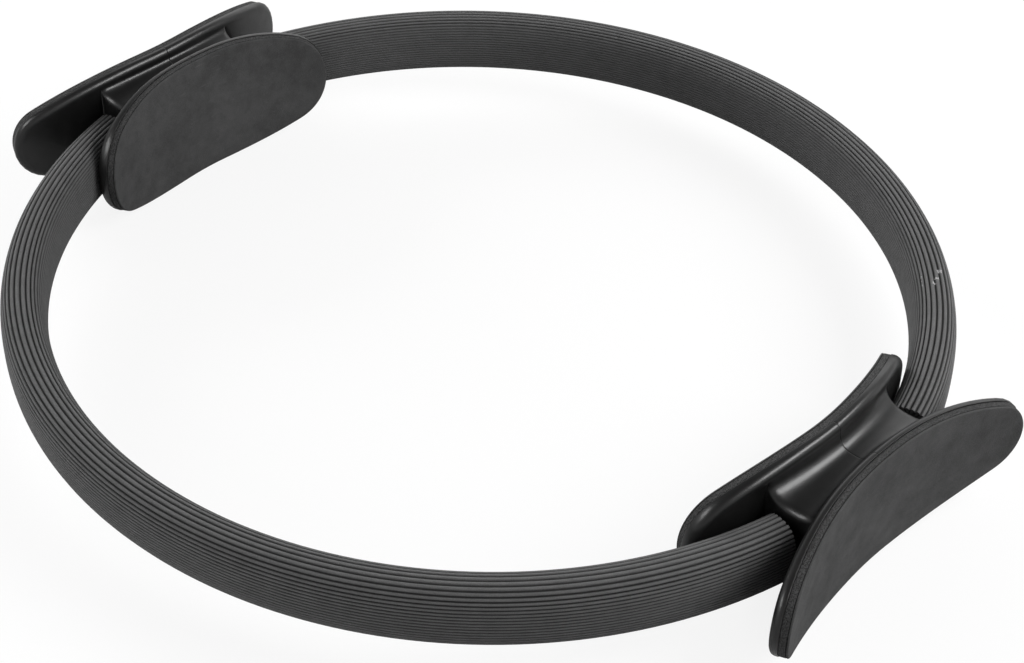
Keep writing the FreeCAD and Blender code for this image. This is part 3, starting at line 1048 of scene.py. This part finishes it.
for side in ("left", "right"):
    for end, way in (("front", 1), ("rear", -1)):
        sleeve = bpy.data.objects[side + "_" + end + "_sleeve"]
        strip = bpy.data.objects[side + "_" + end + "_strip"]
        finish_with(sleeve, sleeve_foam)
        finish_with(strip, laminate)
        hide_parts(side + "_sleeve")
        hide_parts(side + "_spring_strip")
        for piece in (sleeve, strip):
            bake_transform(piece)
print("sleeves and strips dressed")

# %% [markdown]
# ## Floor, light and background
# The ring stands in a white studio on its two handle edges. The world is a white room that is
# brighter low down than overhead, which gives the soft grey on every side. Three soft boxes, right,
# left and in front, shape the ribs, and a board at the back lights the faces that turn away. Two
# panels that show only in gloss give the streaks along the saddle and the rims. An evenly white
# world would be simpler, but it flattens the ribs. The floor looks white to the camera and still
# takes a faint shadow. A lamp's row gives its aim, direction, distance, width, height and power,
# and the rays it is hidden from.

# %% Floor
FLOOR_SIZE = 8.0
FLOOR_DARK, FLOOR_LIGHT = (0.88, 0.88, 0.88), (0.92, 0.92, 0.92)
FLOOR_BOUNCE = (0.45, 0.45, 0.45)
GLOW_SHARE = 0.86
bpy.ops.object.select_all(action="DESELECT")
bpy.ops.mesh.primitive_plane_add(size=FLOOR_SIZE, location=(0.0, 0.0, 0.0))
floor = bpy.context.active_object
floor.name = "studio_floor"
floor.data.transform(Matrix.Translation((0.0, 0.0, cad_box[0][2])))
white, tree, shader = new_material("studio_white")
place = node(tree, "ShaderNodeTexCoord").outputs["Object"]
seen = node(tree, "ShaderNodeLightPath")
paint = blend_colour(tree, noise(tree, place, 3.0), FLOOR_DARK, FLOOR_LIGHT)
paint = blend_colour(tree, seen.outputs["Is Camera Ray"], FLOOR_BOUNCE, paint)
tree.links.new(paint, shader.inputs["Base Color"])
shader.inputs["Roughness"].default_value = 0.9
shader.inputs["Specular IOR Level"].default_value = 0.1
glow = node(tree, "ShaderNodeEmission")
glow.inputs["Strength"].default_value = 1.0
share = combine(tree, "MULTIPLY", seen.outputs["Is Camera Ray"], GLOW_SHARE)
join = node(tree, "ShaderNodeMixShader")
tree.links.new(share, join.inputs["Fac"])
tree.links.new(shader.outputs["BSDF"], join.inputs[1])
tree.links.new(glow.outputs["Emission"], join.inputs[2])
tree.links.new(join.outputs["Shader"], tree.nodes["Material Output"].inputs["Surface"])
floor.data.materials.append(white)
print("floor at z", round(cad_box[0][2], 4))

# %% World
LOW_LEVEL, HIGH_LEVEL, HIGH_FROM = 0.58, 0.13, 0.9
world = bpy.data.worlds.new("white_studio")
world.use_nodes = True
bpy.context.scene.world = world
tree = world.node_tree
tree.nodes.clear()
seen = node(tree, "ShaderNodeLightPath")
way = node(tree, "ShaderNodeSeparateXYZ")
tree.links.new(node(tree, "ShaderNodeTexCoord").outputs["Object"], way.inputs["Vector"])
dome = spread(tree, way.outputs["Z"], 0.0, HIGH_FROM, LOW_LEVEL, HIGH_LEVEL)
level = combine(tree, "MAXIMUM", dome, seen.outputs["Is Camera Ray"])
sky = node(tree, "ShaderNodeBackground")
tree.links.new(level, sky.inputs["Strength"])
sky.inputs["Color"].default_value = (1.0, 1.0, 1.0, 1.0)
out = node(tree, "ShaderNodeOutputWorld")
tree.links.new(sky.outputs["Background"], out.inputs["Surface"])
print("world", world.name, "nodes", len(tree.nodes))

# %% Lamps
LAMPS = (
    ("right_soft_box", (0.16, 0.09, 0.0), (0.58, 0.42, 0.7), 0.8, 0.6, 0.5, 8.0, "glossy"),
    ("left_soft_box", (0.0, 0.0, 0.0), (-0.96, 0.05, 0.26), 1.2, 0.7, 0.5, 18.0, "glossy"),
    ("front_soft_box", (0.0, -0.18, 0.0), (-0.1, -0.9, 0.42), 0.32, 0.3, 0.2, 0.45, "glossy"),
    ("back_board", (0.17, 0.0, 0.02), (-0.55, 0.75, 0.36), 1.5, 1.8, 0.7, 3.5, "none"),
    ("right_gloss_panel", (0.175, 0.0, 0.02), (0.66, 0.36, 0.66), 1.3, 1.3, 0.5, 18.0, "diffuse"),
    ("left_gloss_panel", (0.175, 0.0, 0.02), (-0.53, -0.64, 0.56), 1.2, 0.6, 0.4, 4.5, "diffuse"),
)


def soft_box(name, aim, away, distance, width, height, power):
    """A rectangular lamp at some distance from a point, turned to face it."""
    data = bpy.data.lights.new(name, "AREA")
    data.shape = "RECTANGLE"
    data.size = width
    data.size_y = height
    data.energy = power
    lamp = bpy.data.objects.new(name, data)
    away = Vector(away).normalized()
    lamp.location = Vector(aim) + away * distance
    lamp.rotation_euler = away.to_track_quat("Z", "Y").to_euler()
    lamp.visible_camera = False
    bpy.context.scene.collection.objects.link(lamp)
    return lamp


for *values, hidden in LAMPS:
    lamp = soft_box(*values)
    lamp.visible_glossy = hidden != "glossy"
    lamp.visible_diffuse = hidden != "diffuse"
bpy.context.scene.view_settings.view_transform = "Standard"
